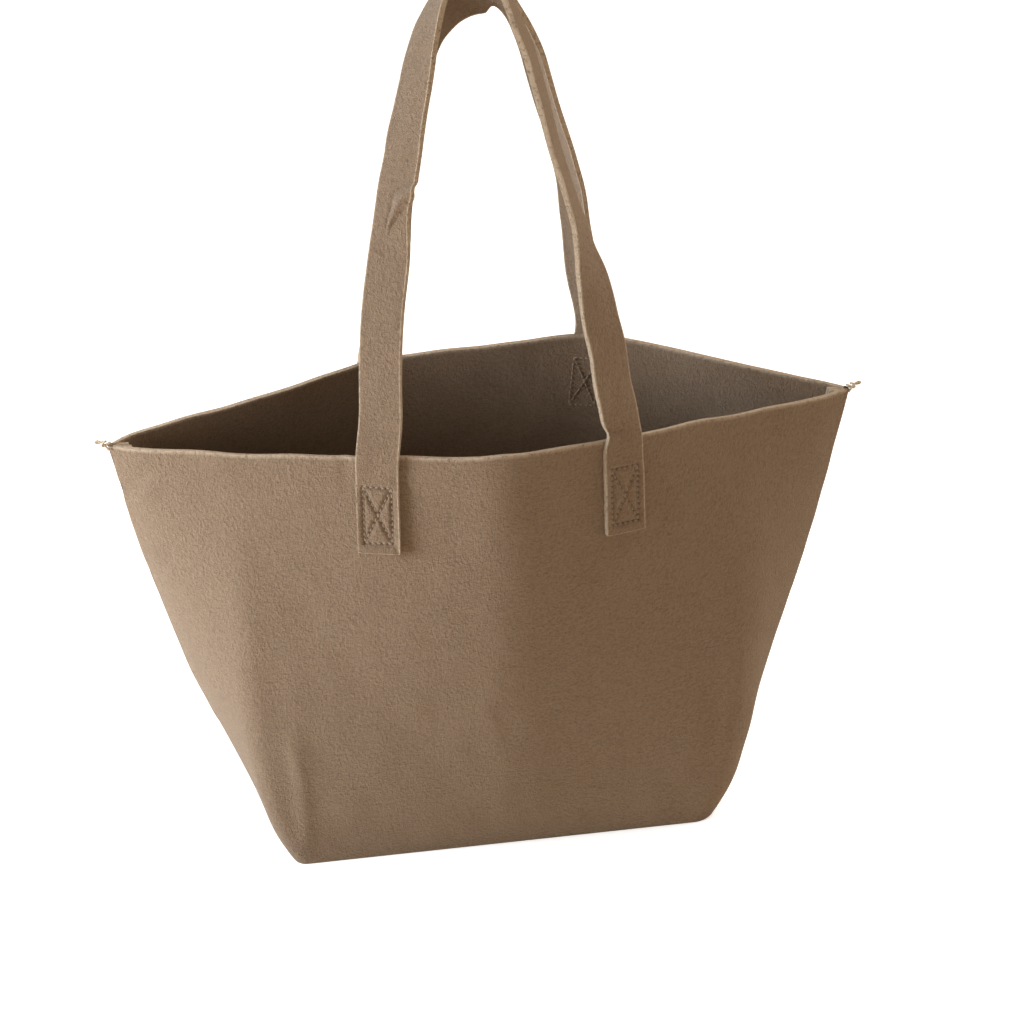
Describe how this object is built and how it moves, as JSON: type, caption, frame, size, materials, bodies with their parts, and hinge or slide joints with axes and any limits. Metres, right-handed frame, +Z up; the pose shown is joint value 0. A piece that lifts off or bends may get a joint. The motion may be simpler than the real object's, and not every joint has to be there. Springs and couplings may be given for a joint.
{
  "type": "fabric grow bag",
  "caption": "Wide-mouthed open bag of thick greige felt with a boxed base and two long flat strap handles sewn on with box-and-cross stitching.",
  "frame": {"origin": "middle of the underside that the bag stands on", "axes": "+X along the mouth to the right, -Y towards the front panel, +Z up"},
  "size_m": [0.5156, 0.181, 0.6051],
  "materials": {
    "felt": "needle-punched felt, fuzzy, matt",
    "thread": "spun polyester sewing thread"
  },
  "bodies": {
    "bag": {"back_left_box_stitching": "thread", "back_left_handle_end": "felt", "back_panel": "felt", "back_right_box_stitching": "thread", "back_right_handle_end": "felt", "base_panel": "felt", "base_seam_thread_back": "thread", "base_seam_thread_front": "thread", "base_seam_thread_left": "thread", "base_seam_thread_right": "thread", "front_left_box_stitching": "thread", "front_left_handle_end": "felt", "front_panel": "felt", "front_right_box_stitching": "thread", "front_right_handle_end": "felt", "left_seam_knot": "thread", "left_side_seam_thread": "thread", "right_seam_knot": "thread", "right_side_seam_thread": "thread"},
    "front_loop": {"front_handle_loop": "felt"},
    "back_loop": {"back_handle_loop": "felt"}
  },
  "joints": [
    {"name": "front_handle_swing", "type": "hinge", "parent": "bag", "child": "front_loop", "pos_m": [0, -0.0717, 0.31074], "axis": [1, 0, 0], "range_deg": [0, 170]},
    {"name": "back_handle_swing", "type": "hinge", "parent": "bag", "child": "back_loop", "pos_m": [0, 0.08137, 0.31533], "axis": [-1, 0, 0], "range_deg": [0, 165]}
  ]
}
